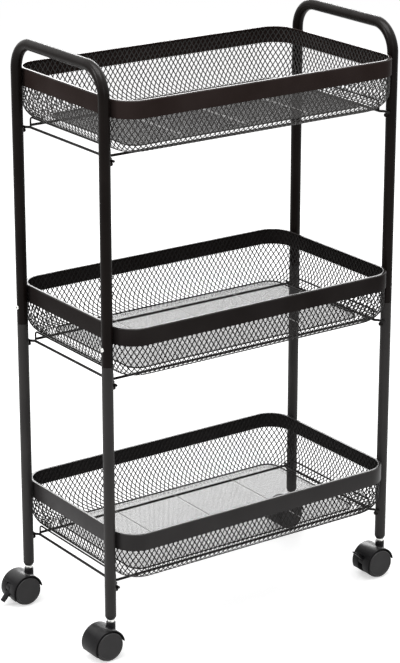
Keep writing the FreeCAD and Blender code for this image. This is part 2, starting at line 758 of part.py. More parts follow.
def caster_wheel(label, side_x, side_y, face):
    """One of a caster's two wheels: a plain disc, slightly dished, with a blind bore for the axle."""
    body = new_body(label)
    bore = AXLE_RADIUS + D["running_clearance"]
    edge = D["wheel_edge_chamfer"]
    dish = WHEEL_RADIUS - D["wheel_dish_margin"]
    cap = WHEEL_OUTER - D["wheel_cap_thickness"]
    points = [
        (WHEEL_INNER, bore), (WHEEL_INNER, WHEEL_RADIUS), (WHEEL_OUTER - edge, WHEEL_RADIUS),
        (WHEEL_OUTER, WHEEL_RADIUS - edge), (WHEEL_OUTER, dish),
        (WHEEL_OUTER - D["wheel_dish_depth"], dish - edge), (WHEEL_OUTER - D["wheel_dish_depth"], 0),
        (cap, 0), (cap, bore),
    ]
    spin(body, f"{label}_turned", "YZ_Plane", "H_Axis", points)
    x = LEG_X * side_x - D["caster_trail"]
    place(body, x, LEG_Y * side_y, WHEEL_RADIUS, angle=0 if face > 0 else 180)
    finish_node(body, label)


def brake_lever(label, side_x, side_y, rest_angle, rest_side):
    """The brake lever: a tab on a hub whose pin turns in the hood's cheeks."""
    body = new_body(label)
    half = D["lever_thickness"] / 2
    length = D["lever_length"]
    hub = new_sketch(body, f"{label}_hub_profile", "XZ_Plane")
    circle(hub, 0, 0, D["lever_hub_diameter"])
    hub_pad = add_feature(body, "Pad", f"{label}_hub", hub)
    arm = new_sketch(body, f"{label}_arm_profile", "XZ_Plane")
    outline(arm, [(0, -half), (0, half), (-length, half / 2), (-length, -(half / 2))])
    arm_pad = add_feature(body, "Pad", f"{label}_arm", arm)
    pin = new_sketch(body, f"{label}_pin_profile", "XZ_Plane")
    circle(pin, 0, 0, D["lever_pin_diameter"])
    pin_pad = add_feature(body, "Pad", f"{label}_pin", pin)
    for pad, width in (
            (hub_pad, D["lever_width"]), (arm_pad, D["lever_width"]),
            (pin_pad, D["neck_diameter"] - D["seat_gap"] * 2)):
        pad.Midplane = True
        bind(pad, "Length", width)
    x = LEG_X * side_x - D["caster_trail"] - D["lever_pivot_back"]
    z = WHEEL_RADIUS + D["lever_pivot_rise"]
    place(body, x, LEG_Y * side_y, z, (0, rest_side, 0), rest_angle.number)
    bind(body, "Placement.Rotation.Angle", rest_angle)
    finish_node(body, label)


def build():
    tube_frame("left_frame", -1)
    tube_frame("right_frame", 1)
    for name, (side_x, side_y) in LEGS.items():
        lower_leg(f"{name}_leg", side_x, side_y)
        joint_sleeve(f"{name}_joint_sleeve", side_x, side_y)
        leg_insert(f"{name}_leg_insert", side_x, side_y)
        caster_stem(f"{name}_caster_stem", side_x, side_y)
        caster_hood(f"{name}_caster_hood", side_x, side_y, name in LEVERS)
        caster_axle(f"{name}_caster_axle", side_x, side_y)
        caster_wheel(f"{name}_wheel_front", side_x, side_y, -1)
        caster_wheel(f"{name}_wheel_back", side_x, side_y, 1)
        if name in LEVERS:
            brake_lever(f"{name}_brake_lever", side_x, side_y, *LEVERS[name])
    joint_screws()
    basket_pegs()
    for basket, rim in BASKETS.items():
        basket_band(f"{basket}_basket_band", rim)
        basket_mesh(f"{basket}_basket_mesh", rim)
        basket_runners(f"{basket}_basket_runners", rim)
        basket_bracket(f"{basket}_basket_left_bracket", rim, -1)
        basket_bracket(f"{basket}_basket_right_bracket", rim, 1)
    doc.recompute()


def check():
    """Refuses a document with a failed object or a node without a sound shape."""
    for thing in doc.Objects:
        if "Invalid" in thing.State or "Error" in thing.State:
            raise ValueError(f"{thing.Label} failed: {thing.State}")
    for node in nodes:
        if node.Shape.isNull() or not node.Shape.isValid():
            raise ValueError(f"{node.Label} has no valid shape")


def write():
    os.makedirs("parts", exist_ok=True)
    for node in nodes:
        node.Shape.exportStep(os.path.join("parts", f"{node.Label}.step"))


build()
check()
write()
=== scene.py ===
import math
from functools import partial

import bmesh
import bpy
from mathutils import Matrix, Vector


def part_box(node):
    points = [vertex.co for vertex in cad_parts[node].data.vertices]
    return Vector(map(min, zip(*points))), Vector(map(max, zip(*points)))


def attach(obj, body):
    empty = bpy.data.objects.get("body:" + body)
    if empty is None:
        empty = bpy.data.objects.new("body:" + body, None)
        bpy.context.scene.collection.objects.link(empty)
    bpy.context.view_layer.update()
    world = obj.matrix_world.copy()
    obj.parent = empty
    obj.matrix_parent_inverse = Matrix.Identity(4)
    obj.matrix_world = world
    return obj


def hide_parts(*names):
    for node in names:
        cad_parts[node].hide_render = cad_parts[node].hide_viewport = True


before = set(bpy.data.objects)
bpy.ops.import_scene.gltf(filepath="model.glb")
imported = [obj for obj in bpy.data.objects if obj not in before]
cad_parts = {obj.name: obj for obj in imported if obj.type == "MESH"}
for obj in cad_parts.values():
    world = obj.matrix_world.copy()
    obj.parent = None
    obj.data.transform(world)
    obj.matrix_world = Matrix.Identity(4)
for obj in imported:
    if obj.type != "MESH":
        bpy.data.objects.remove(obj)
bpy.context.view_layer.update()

MM = 0.001

# Each leg's side along X and Y, the casters that have a brake lever, and the baskets from the top down
LEGS = {"front_left": (-1, -1), "rear_left": (-1, 1), "front_right": (1, -1), "rear_right": (1, 1)}
LEVER_LEGS = ("front_right", "rear_left")
BASKETS = ("top", "middle", "lower")

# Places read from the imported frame
frame_low, frame_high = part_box("right_frame")
TUBE_RADIUS = (frame_high.x - frame_low.x) / 2
LEG_X = (frame_high.x + frame_low.x) / 2
LEG_Y = frame_high.y - TUBE_RADIUS
HANDLE_Z = frame_high.z - TUBE_RADIUS
JOINT_Z = frame_low.z
LEG_END_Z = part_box("front_right_leg")[0].z
BAND_LOW, BAND_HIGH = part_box("top_basket_band")
BAND_HEIGHT = BAND_HIGH.z - BAND_LOW.z
MESH_LOW, MESH_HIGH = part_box("top_basket_mesh")
MESH_DROP = BAND_HIGH.z - MESH_LOW.z
RIM_Z = {basket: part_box(f"{basket}_basket_band")[1].z for basket in BASKETS}
SCREW_LOW, SCREW_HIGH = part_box("joint_screws")

# Tubes
HANDLE_BEND = 40 * MM
TUBE_SIDES = 40
BEND_STEPS = 20
TUBE_END_CHAMFER = 0.7 * MM

# Basket strip and its inward lip
BAND_CORNER = 38 * MM
BAND_THICKNESS = 1.2 * MM
LIP_WIDTH = 5 * MM
LIP_ROUND = 2 * MM
LIP_STEPS = 8
LIP_INNER_STEPS = 5
STRIP_EDGE_STEPS = 6
CORNER_STEPS = 20

# Drawn mesh of a basket: open diamonds down the wall and round its foot, up to the raised bottom.
# Its strands thin out between two angles round the foot's bend.
MESH_CORNER = 36.7 * MM
MESH_BEND = 30 * MM
MESH_TOP_DROP = 3 * MM
DIAMONDS_ROUND = 178
DIAMOND_HEIGHT = 12.4 * MM
STRAND_RADIUS = 0.86 * MM
STRAND_FLATNESS = 0.6
STRAND_STEPS = 36
STRAND_SIDES = 6
STRAND_TAPER = 0.2
TAPER_FROM = 1.3
TAPER_TO = 1.44

# Raised bottom: fine mesh inside a pressed edge, stiffened by creases from front to back
PLATFORM_INSET = 35.6 * MM
PLATFORM_CORNER = 20 * MM
PLATFORM_RISE = 6.3 * MM
PLATFORM_EDGE_RADIUS = 1.1 * MM
PLATFORM_EDGE_SIDES = 12
FINE_WIDTH = 2.3 * MM
FINE_HEIGHT = 3.4 * MM
FINE_RADIUS = {"top": 0.23 * MM, "middle": 0.19 * MM, "lower": 0.19 * MM}
FINE_SIDES = 4
CREASES_X = (-107 * MM, 0.0, 107 * MM)
CREASE_REACH = 96 * MM
CREASE_FADE = 8 * MM
CREASE_HALF_WIDTH = 2 * MM
CREASE_RISE = 0.6 * MM
CREST_RADIUS = 0.5 * MM
CREST_SIDES = 6

# Wires under a basket
WIRE_RADIUS = 1.9 * MM
BOW_WIRE_RADIUS = 1.3 * MM
WIRE_SIDES = 14
WIRE_BEND_STEPS = 8
RUNNER_Y = 102 * MM
BOW_BEND = 5 * MM
CROSS_BEND = 4 * MM
BRACKET_RISE = 15 * MM
WELD_RADIUS = 2.6 * MM
WELD_FLATNESS = 0.6
WELD_STEPS = 6
WELD_SIDES = 10

# Disc over each wheel's outer face
CAP_RADIUS = 21.1 * MM
CAP_PROUD = 0.8 * MM
CAP_EDGE = 1.3 * MM
CAP_EDGE_STEPS = 6
CAP_RING = 2.6 * MM
CAP_DISH = 0.35 * MM
CAP_SEAT = 0.4 * MM
CAP_SIDES = 72

# Edges of the caster parts: how far and from which angle on they are rounded, once near points and
# flat faces are merged
INSERT_EDGE = 0.4 * MM
STEM_EDGE = 0.35 * MM
AXLE_EDGE = 0.3 * MM
MOULDED_EDGE = 0.5 * MM
EDGE_SEGMENTS = 3
SHARP_ANGLE = math.radians(30)
FLAT_ANGLE = math.radians(0.5)
LOOSE_GAP = 2e-6

# Joint screws: a domed head with a cross recess, whose reach and height are shares of the head's
SCREW_SIDES = 32
SCREW_SEAT = 0.5 * MM
DOME_STEPS = 8
DOME_FULLNESS = 0.6
RECESS_WIDTH = 0.8 * MM
RECESS_REACH = 1.15
RECESS_HEIGHT = 1.2

# Pegs that the baskets rest on
PEG_RADIUS = 3 * MM
PEG_ROUND = 1.5 * MM
PEG_ROUND_STEPS = 5
PEG_SEAT = 1 * MM
PEG_GAP = 0.1 * MM
PEG_SIDES = 24


def new_object(name, data):
    piece = bpy.data.objects.new(name, data)
    bpy.context.scene.collection.objects.link(piece)
    return piece


def mesh_of(name, points, edges=(), faces=()):
    mesh = bpy.data.meshes.new(name)
    mesh.from_pydata([tuple(point) for point in points], edges, faces)
    mesh.update()
    return mesh


def mesh_from(shape, name):
    """A mesh from a shape whose editing ends here."""
    mesh = bpy.data.meshes.new(name)
    shape.to_mesh(mesh)
    shape.free()
    return mesh


def evaluated(piece):
    """A plain mesh of what a piece's modifiers make; the modifiers are removed."""
    depsgraph = bpy.context.evaluated_depsgraph_get()
    mesh = bpy.data.meshes.new_from_object(piece.evaluated_get(depsgraph), depsgraph=depsgraph)
    piece.modifiers.clear()
    return mesh


def set_vectors(mesh, name, values):
    """Gives each point of a mesh a named vector."""
    attribute = mesh.attributes.new(name, "FLOAT_VECTOR", "POINT")
    attribute.data.foreach_set("vector", [number for value in values for number in value])


def finish_piece(piece, material, body, nodes, crease=35):
    """Gives a piece its finish, the body it moves with and the nodes it stands for.

    It is shaded smooth, apart from edges sharper than the crease angle in degrees.
    """
    mesh = piece.data
    mesh.materials.clear()
    mesh.materials.append(material)
    mesh.polygons.foreach_set("use_smooth", [True] * len(mesh.polygons))
    mesh.set_sharp_from_angle(angle=math.radians(crease))
    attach(piece, body)
    if nodes:
        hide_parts(*nodes)


# Node trees

# Kinds of the sockets that aren't plain numbers
SOCKET_KINDS = {
    "Geometry": "Geometry", "Shape": "Object", "Finish": "Material", "Diamonds Round": "Int",
    "Strand Steps": "Int", "Bend Steps": "Int", "Sides": "Int",
}


def feed(tree, node, inputs):
    """Links or sets a node's inputs by name or number."""
    for name, value in inputs.items():
        if isinstance(value, bpy.types.NodeSocket):
            tree.links.new(value, node.inputs[name])
        else:
            node.inputs[name].default_value = value


def add_node(tree, kind, inputs=None, **settings):
    """Adds a node, sets its properties and feeds its inputs."""
    node = tree.nodes.new(kind)
    for name, value in settings.items():
        setattr(node, name, value)
    feed(tree, node, inputs or {})
    return node


def maths(tree, operation, *values):
    return add_node(tree, "ShaderNodeMath", dict(enumerate(values)), operation=operation).outputs[0]


def vectors(tree, operation, first, second):
    """One step of vector maths; the second value of SCALE is a number."""
    second_input = "Scale" if operation == "SCALE" else 1
    node = add_node(tree, "ShaderNodeVectorMath", {0: first, second_input: second}, operation=operation)
    return node.outputs[0]


def between(tree, value, low, high):
    return maths(tree, "MINIMUM", maths(tree, "MAXIMUM", value, low), high)


def span(tree, value, low, high, to_low=0.0, to_high=1.0):
    """Stretches one span of values to another and stops at its ends."""
    node = add_node(tree, "ShaderNodeMapRange", {
        "Value": value, "From Min": low, "From Max": high, "To Min": to_low, "To Max": to_high})
    return node.outputs["Result"]


def new_tree(name, kind, inputs, outputs):
    """A node group with named sockets; returns it with its input sockets and its output node."""
    tree = bpy.data.node_groups.new(name, kind)
    for way, labels in (("INPUT", inputs), ("OUTPUT", outputs)):
        for label in labels:
            socket = SOCKET_KINDS.get(label, "Float")
            tree.interface.new_socket(label, in_out=way, socket_type=f"NodeSocket{socket}")
    return tree, tree.nodes.new("NodeGroupInput").outputs, tree.nodes.new("NodeGroupOutput")


def end_tree(tree, shape, finish, made):
    """Closes a geometry tree: real meshes in one finish."""
    real = add_node(tree, "GeometryNodeRealizeInstances", {"Geometry": shape})
    coated = add_node(tree, "GeometryNodeSetMaterial", {"Geometry": real.outputs[0], "Material": finish})
    feed(tree, made, {"Geometry": coated.outputs[0]})


def grow(name, source, tree, settings):
    """Runs a geometry tree on a source mesh and keeps the result as a plain mesh."""
    piece = new_object(name, source)
    modifier = piece.modifiers.new("shape", "NODES")
    modifier.node_group = tree
    for item in tree.interface.items_tree:
        if item.in_out == "INPUT" and item.name in settings:
            modifier[item.identifier] = settings[item.name]
    piece.data = evaluated(piece)
    piece.data.name = name
    bpy.data.meshes.remove(source)
    return piece


def slanted_strands(tree, given, length):
    """Crossing straight strands, with each place's run along its strand and share of the way round."""
    m = partial(maths, tree)
    line = add_node(tree, "GeometryNodeCurvePrimitiveLine")
    stepped = add_node(tree, "GeometryNodeResampleCurve", {
        "Curve": line.outputs[0], "Count": given["Strand Steps"]}, mode="COUNT")
    amount = m("MULTIPLY", given["Diamonds Round"], 2)
    strands = add_node(tree, "GeometryNodeDuplicateElements", {
        "Geometry": stepped.outputs[0], "Amount": amount}, domain="SPLINE")
    number = strands.outputs["Duplicate Index"]
    lean = m("SUBTRACT", m("MULTIPLY", m("MODULO", number, 2), 2), 1)
    column = m("FLOOR", m("DIVIDE", number, 2))
    run = m("MULTIPLY", add_node(tree, "GeometryNodeSplineParameter").outputs["Factor"], length)
    shift = m("MULTIPLY", lean, m("DIVIDE", run, given["Diamond Height"]))
    turn = m("FRACT", m("DIVIDE", m("ADD", column, shift), given["Diamonds Round"]))
    return strands.outputs["Geometry"], run, turn


def sampled_plan(tree, plan, turn):
    """The wall's plan at each share of the way round: position, tangent and, as its value, the foot."""
    loop = add_node(tree, "GeometryNodeMeshToCurve", {0: plan})
    foot = add_node(tree, "GeometryNodeInputNamedAttribute", {"Name": "foot"}, data_type="FLOAT_VECTOR")
    sample = add_node(tree, "GeometryNodeSampleCurve", {
        "Curves": loop.outputs[0], "Value": foot.outputs[0], "Factor": turn},
        data_type="FLOAT_VECTOR", mode="FACTOR")
    return sample.outputs


def strand_place(tree, given, spot, run, angle, to_trough, to_step):
    """Where a strand runs: down the wall, round the bend, along the trough and up to the bottom."""
    m = partial(maths, tree)
    round_bend = m("MULTIPLY", given["Bend"], m("SUBTRACT", 1, m("COSINE", angle)))
    along_trough = between(tree, m("SUBTRACT", run, to_trough), 0, given["Trough"])
    inward = m("ADD", round_bend, along_trough)
    share = m("DIVIDE", inward, m("ADD", given["Bend"], given["Trough"]))
    across = vectors(tree, "SUBTRACT", spot["Value"], spot["Position"])
    flat = vectors(tree, "ADD", spot["Position"], vectors(tree, "SCALE", across, share))
    flat_xyz = add_node(tree, "ShaderNodeSeparateXYZ", {0: flat}).outputs
    fall = m("ADD", m("MINIMUM", run, given["Wall"]), m("MULTIPLY", given["Bend"], m("SINE", angle)))
    climb = m("MAXIMUM", m("SUBTRACT", run, to_step), 0)
    height = m("ADD", m("SUBTRACT", given["Top"], fall), climb)
    return add_node(tree, "ShaderNodeCombineXYZ", {0: flat_xyz[0], 1: flat_xyz[1], 2: height}).outputs[0]


def sheet_facing(tree, spot, angle):
    """Which way the mesh sheet faces: outward on the wall, and turning down round the bend."""
    outward = vectors(tree, "CROSS_PRODUCT", spot["Tangent"], (0.0, 0.0, 1.0))
    level = vectors(tree, "SCALE", outward, maths(tree, "COSINE", angle))
    drop = maths(tree, "MULTIPLY", maths(tree, "SINE", angle), -1)
    down = add_node(tree, "ShaderNodeCombineXYZ", {2: drop}).outputs[0]
    return vectors(tree, "ADD", level, down)


def strand_section(tree, given):
    """A strand's section: a circle flattened across the sheet."""
    circle = add_node(tree, "GeometryNodeCurvePrimitiveCircle", {
        "Resolution": given["Sides"], "Radius": given["Strand Radius"]})
    squash = add_node(tree, "ShaderNodeCombineXYZ", {0: given["Flatness"], 1: 1.0, 2: 1.0})
    section = add_node(tree, "GeometryNodeTransform", {
        "Geometry": circle.outputs[0], "Scale": squash.outputs[0]})
    return section.outputs[0]


def drawn_mesh_tree():
    """Runs two crossing sets of strands down a basket's wall, round its foot and up to the raised bottom.

    The given outline is the wall's plan; its attribute "foot" says where each point meets the bottom.
    """
    tree, given, made = new_tree("drawn_mesh", "GeometryNodeTree", [
        "Geometry", "Diamonds Round", "Diamond Height", "Top", "Wall", "Bend", "Trough", "Step",
        "Strand Radius", "Taper", "Taper From", "Taper To", "Strand Steps", "Flatness", "Sides", "Finish",
    ], ["Geometry"])
    m = partial(maths, tree)
    to_trough = m("ADD", given["Wall"], m("MULTIPLY", given["Bend"], math.pi / 2))
    to_step = m("ADD", to_trough, given["Trough"])
    strands, run, turn = slanted_strands(tree, given, m("ADD", to_step, given["Step"]))
    spot = sampled_plan(tree, given["Geometry"], turn)
    past_wall = m("DIVIDE", m("SUBTRACT", run, given["Wall"]), given["Bend"])
    angle = between(tree, past_wall, 0, math.pi / 2)
    place = strand_place(tree, given, spot, run, angle, to_trough, to_step)
    drawn = add_node(tree, "GeometryNodeSetPosition", {"Geometry": strands, "Position": place})
    laid = add_node(tree, "GeometryNodeSetCurveNormal", {
        "Curve": drawn.outputs[0], "Normal": sheet_facing(tree, spot, angle)}, mode="FREE")
    thinned = span(tree, angle, given["Taper From"], given["Taper To"], 1.0, given["Taper"])
    mesh = add_node(tree, "GeometryNodeCurveToMesh", {
        "Curve": laid.outputs[0], "Profile Curve": strand_section(tree, given), "Scale": thinned,
        "Fill Caps": True})
    end_tree(tree, mesh.outputs[0], given["Finish"], made)
    return tree


def bent_rod_tree():
    """Runs a round section along drawn lines and rounds their corners."""
    tree, given, made = new_tree("bent_rod", "GeometryNodeTree", [
        "Geometry", "Rod Radius", "Bend Radius", "Bend Steps", "Sides", "Finish"], ["Geometry"])
    line = add_node(tree, "GeometryNodeMeshToCurve", {0: given["Geometry"]})
    rounded = add_node(tree, "GeometryNodeFilletCurve", {
        "Curve": line.outputs[0], "Radius": given["Bend Radius"], "Count": given["Bend Steps"],
        "Limit Radius": True}, mode="POLY")
    section = add_node(tree, "GeometryNodeCurvePrimitiveCircle", {
        "Resolution": given["Sides"], "Radius": given["Rod Radius"]})
    rod = add_node(tree, "GeometryNodeCurveToMesh", {
        "Curve": rounded.outputs[0], "Profile Curve": section.outputs[0], "Fill Caps": True})
    end_tree(tree, rod.outputs[0], given["Finish"], made)
    return tree


def fastener_tree():
    """Sets one shape at each point, turned to face the way that the point says."""
    tree, given, made = new_tree(
        "fasteners", "GeometryNodeTree", ["Geometry", "Shape", "Finish"], ["Geometry"])
    shape = add_node(tree, "GeometryNodeObjectInfo", {"Object": given["Shape"]})
    facing = add_node(tree, "GeometryNodeInputNamedAttribute", {"Name": "facing"}, data_type="FLOAT_VECTOR")
    turn = add_node(tree, "FunctionNodeAlignRotationToVector", {"Vector": facing.outputs[0]}, axis="Z")
    placed = add_node(tree, "GeometryNodeInstanceOnPoints", {
        "Points": given["Geometry"], "Instance": shape.outputs["Geometry"], "Rotation": turn.outputs[0]})
    end_tree(tree, placed.outputs[0], given["Finish"], made)
    return tree


# Finishes

# Where nearly all of a noise's values lie
NOISE_SPAN = (0.3, 0.7)

# Dust: its colour, how far up a face looks, the spans of noise that make specks and patches, and the
# patches' share of the specks' scale
DUST_TONE = (0.3, 0.29, 0.28)
DUST_UP = (0.2, 1.0)
DUST_SPECKS = (0.5, 0.75)
DUST_PATCHES = (0.35, 0.7)
DUST_PATCH_SHARE = 0.06

# Painted highlight on what faces up: the scale of its patches and the least of it in them
HIGHLIGHT_PATCH_SCALE = 35.0
LEAST_HIGHLIGHT = 0.7

# Turning marks on zinc: long round the part and fine along it
TURNING_MARKS = (60.0, 60.0, 2600.0)


def noise(tree, place, scale, detail=2.0, roughness=0.5):
    return add_node(tree, "ShaderNodeTexNoise", {
        "Vector": place, "Scale": scale, "Detail": detail, "Roughness": roughness}).outputs["Fac"]


def spread(tree, value, to_low=0.0, to_high=1.0):
    """Stretches a noise's values over a given span."""
    return span(tree, value, *NOISE_SPAN, to_low, to_high)


def object_place(tree):
    return add_node(tree, "ShaderNodeTexCoord").outputs["Object"]


def facing_up(tree):
    """How far a face looks up, from -1 to 1."""
    normal = add_node(tree, "ShaderNodeNewGeometry").outputs["Normal"]
    return add_node(tree, "ShaderNodeSeparateXYZ", {0: normal}).outputs[2]


def wandering(tree, value, pattern, amount):
    """A value that a noise shifts up and down by an amount."""
    shift = maths(tree, "MULTIPLY", spread(tree, pattern, -1.0, 1.0), amount)
    return maths(tree, "ADD", value, shift)


def coat_group():
    """Baked powder coat: fine orange peel, cloudy tone, and a sheen that wanders a little."""
    tree, given, made = new_tree("powder_coat", "ShaderNodeTree", [
        "Peel Scale", "Cloud Scale", "Sheen", "Sheen Spread"], ["Tone", "Roughness", "Height"])
    place = object_place(tree)
    peel = noise(tree, place, given["Peel Scale"], detail=3.0)
    cloud = noise(tree, place, given["Cloud Scale"], detail=3.0)
    patch = noise(tree, place, maths(tree, "MULTIPLY", given["Cloud Scale"], 4.0))
    sheen = wandering(tree, given["Sheen"], patch, given["Sheen Spread"])
    feed(tree, made, {"Tone": spread(tree, cloud), "Roughness": sheen, "Height": peel})
    return tree


def dust_group():
    """Faint dust that settles on what faces up, in specks and soft patches."""
    tree, given, made = new_tree("settled_dust", "ShaderNodeTree", ["Amount", "Speck Scale"], ["Mask"])
    place = object_place(tree)
    lies_flat = span(tree, facing_up(tree), *DUST_UP)
    specks = span(tree, noise(tree, place, given["Speck Scale"], detail=4.0, roughness=0.7), *DUST_SPECKS)
    patch_scale = maths(tree, "MULTIPLY", given["Speck Scale"], DUST_PATCH_SHARE)
    patches = span(tree, noise(tree, place, patch_scale), *DUST_PATCHES)
    mask = maths(tree, "MULTIPLY", maths(tree, "MULTIPLY", lies_flat, specks), patches)
    feed(tree, made, {"Mask": maths(tree, "MULTIPLY", mask, given["Amount"])})
    return tree


def grain_group():
    """Moulded plastic: a fine spark-eroded grain with slight flow tone."""
    tree, given, made = new_tree("moulded_grain", "ShaderNodeTree", [
        "Grain Scale", "Flow Scale", "Sheen", "Sheen Spread"], ["Tone", "Roughness", "Height"])
    place = object_place(tree)
    grain = noise(tree, place, given["Grain Scale"], detail=4.0, roughness=0.65)
    flow = noise(tree, place, given["Flow Scale"], detail=3.0)
    sheen = wandering(tree, given["Sheen"], grain, given["Sheen Spread"])
    feed(tree, made, {"Tone": spread(tree, flow), "Roughness": sheen, "Height": grain})
    return tree


def painted_highlight_group():
    """Painted highlight: a clear coat on what faces up, where lamps above would shine, a little unevenly."""
    tree, given, made = new_tree("painted_highlight_on_top_faces", "ShaderNodeTree", ["Amount", "Up From", "Up To"], ["Mask"])
    uneven_highlight = spread(tree, noise(tree, object_place(tree), HIGHLIGHT_PATCH_SCALE), LEAST_HIGHLIGHT, 1.0)
    mask = maths(tree, "MULTIPLY", span(tree, facing_up(tree), given["Up From"], given["Up To"]), uneven_highlight)
    feed(tree, made, {"Mask": maths(tree, "MULTIPLY", mask, given["Amount"])})
    return tree


COAT = coat_group()
PAINTED_HIGHLIGHT_TREE = painted_highlight_group()
DUST = dust_group()
GRAIN = grain_group()


def new_material(name):
    material = bpy.data.materials.new(name)
    material.use_nodes = True
    return material, material.node_tree, material.node_tree.nodes["Principled BSDF"]


def place_group(tree, group, values):
    return add_node(tree, "ShaderNodeGroup", values, node_tree=group).outputs


def mixed(tree, factor, first, second):
    """A colour between two others."""
    mix = add_node(tree, "ShaderNodeMix", {"Factor": factor}, data_type="RGBA")
    colours = [socket for socket in mix.inputs if socket.type == "RGBA"]
    for socket, value in zip(colours, (first, second)):
        if isinstance(value, bpy.types.NodeSocket):
            tree.links.new(value, socket)
        else:
            socket.default_value = (*value, 1)
    return next(socket for socket in mix.outputs if socket.type == "RGBA")


def add_bump(tree, shader, height, strength, distance):
    raised = add_node(tree, "ShaderNodeBump", {
        "Height": height, "Strength": strength, "Distance": distance})
    feed(tree, shader, {"Normal": raised.outputs[0]})


def add_surface(tree, shader, surface, dark, light, specular, dust, speck_scale):
    """A surface group's tone between two colours, with dust on what faces up, and its roughness."""
    settled = place_group(tree, DUST, {"Amount": dust, "Speck Scale": speck_scale})
    clean = mixed(tree, surface["Tone"], dark, light)
    feed(tree, shader, {
        "Base Color": mixed(tree, settled["Mask"], clean, DUST_TONE), "Roughness": surface["Roughness"],
        "Specular IOR Level": specular})


def add_painted_highlight(tree, shader, amount, roughness, highlight_span):
    """A painted highlight: a clear coat on what faces up, between two values of how far up it looks."""
    up_from, up_to = highlight_span
    rim = place_group(tree, PAINTED_HIGHLIGHT_TREE, {"Amount": amount, "Up From": up_from, "Up To": up_to})
    feed(tree, shader, {"Coat Weight": rim["Mask"], "Coat Roughness": roughness})


def coat_finish(name, dark, light, sheen, specular, dust=0.25, painted_gloss_amount=0.0):
    """Satin black powder coat on steel; the gloss amount adds a painted highlight, a clear coat on the rims
    that face up.
    """
    material, tree, shader = new_material(name)
    coat = place_group(tree, COAT, {
        "Peel Scale": 700.0, "Cloud Scale": 16.0, "Sheen": sheen, "Sheen Spread": 0.05})
    add_surface(tree, shader, coat, dark, light, specular, dust, speck_scale=900.0)
    add_bump(tree, shader, coat["Height"], strength=0.12, distance=0.2 * MM)
    if painted_gloss_amount:
        add_painted_highlight(tree, shader, painted_gloss_amount, roughness=0.22, highlight_span=(0.15, 0.6))
    return material


def plastic_finish(name, dark, light, sheen, specular, painted_gloss_amount=0.0, highlight_span=(0.65, 1.0)):
    """Matte moulded plastic; the gloss amount adds a painted highlight, a clear coat on what faces up."""
    material, tree, shader = new_material(name)
    grain = place_group(tree, GRAIN, {
        "Grain Scale": 1500.0, "Flow Scale": 30.0, "Sheen": sheen, "Sheen Spread": 0.06})
    add_surface(tree, shader, grain, dark, light, specular, dust=0.2, speck_scale=1100.0)
    add_bump(tree, shader, grain["Height"], strength=0.25, distance=0.1 * MM)
    if painted_gloss_amount:
        add_painted_highlight(tree, shader, painted_gloss_amount, roughness=0.3, highlight_span=highlight_span)
    return material


def zinc_finish(name, dark, light):
    """Bright zinc plate with fine turning marks round the part."""
    material, tree, shader = new_material(name)
    place = object_place(tree)
    stretched = add_node(tree, "ShaderNodeMapping", {"Vector": place, "Scale": TURNING_MARKS}).outputs[0]
    marks = noise(tree, stretched, scale=1.0, detail=3.0)
    cloud = noise(tree, place, scale=220.0, detail=3.0)
    add_bump(tree, shader, marks, strength=0.15, distance=0.1 * MM)
    feed(tree, shader, {
        "Base Color": mixed(tree, spread(tree, cloud), dark, light),
        "Roughness": spread(tree, marks, to_low=0.18, to_high=0.34), "Metallic": 1.0})
    return material


# The gloss amounts below add painted highlights on the faces that look up.
FRAME_COAT = coat_finish(
    "frame_powder_coat", dark=(0.0048, 0.0032, 0.0027), light=(0.0088, 0.0065, 0.0057),
    sheen=0.34, specular=0.06, painted_gloss_amount=0.36)
LEG_COAT = coat_finish(
    "leg_powder_coat", dark=(0.021, 0.0195, 0.019), light=(0.029, 0.027, 0.0265),
    sheen=0.46, specular=0.15)
# Lit and shaded copies of one band coat, one for each basket: painted light. The lower band is painted
# lighter and glossier, where light from the floor reaches it.
LIT_AND_SHADED_BAND_COATS = {
    basket: coat_finish(
        f"{basket}_band_painted_light_coat", dark, light, sheen=0.36, specular=specular, painted_gloss_amount=0.8)
    for basket, dark, light, specular in (
        ("top", (0.02, 0.0135, 0.012), (0.029, 0.021, 0.0195), 0.01),
        ("middle", (0.014, 0.0115, 0.011), (0.021, 0.0182, 0.0176), 0.01),
        ("lower", (0.018, 0.0165, 0.0165), (0.025, 0.023, 0.023), 0.12))
}
# The top basket's mesh is painted lighter than the lower two: painted light, for the overhead lamp that
# reaches it and not the shaded baskets under it.
LIT_TOP_MESH_COAT = coat_finish(
    "top_mesh_painted_light_coat", dark=(0.034, 0.032, 0.031), light=(0.048, 0.0455, 0.0445),
    sheen=0.42, specular=0.15, dust=0.1)
MESH_COAT = coat_finish(
    "mesh_powder_coat", dark=(0.008, 0.007, 0.0065), light=(0.013, 0.0115, 0.011),
    sheen=0.42, specular=0.12, dust=0.1)
# Light grey coat on the crease crests: a painted highlight where the lamps would glint along them.
CREST_HIGHLIGHT_COAT = coat_finish(
    "crest_painted_highlight_coat", dark=(0.24, 0.235, 0.23), light=(0.4, 0.39, 0.385),
    sheen=0.4, specular=0.3, dust=0.1)
WIRE_COAT = coat_finish(
    "wire_powder_coat", dark=(0.006, 0.005, 0.0047), light=(0.010, 0.0088, 0.0083),
    sheen=0.4, specular=0.12)
HOOD_PLASTIC = plastic_finish(
    "caster_hood_plastic", dark=(0.007, 0.0066, 0.0072), light=(0.011, 0.0105, 0.0114),
    sheen=0.4, specular=0.1, painted_gloss_amount=1.0)
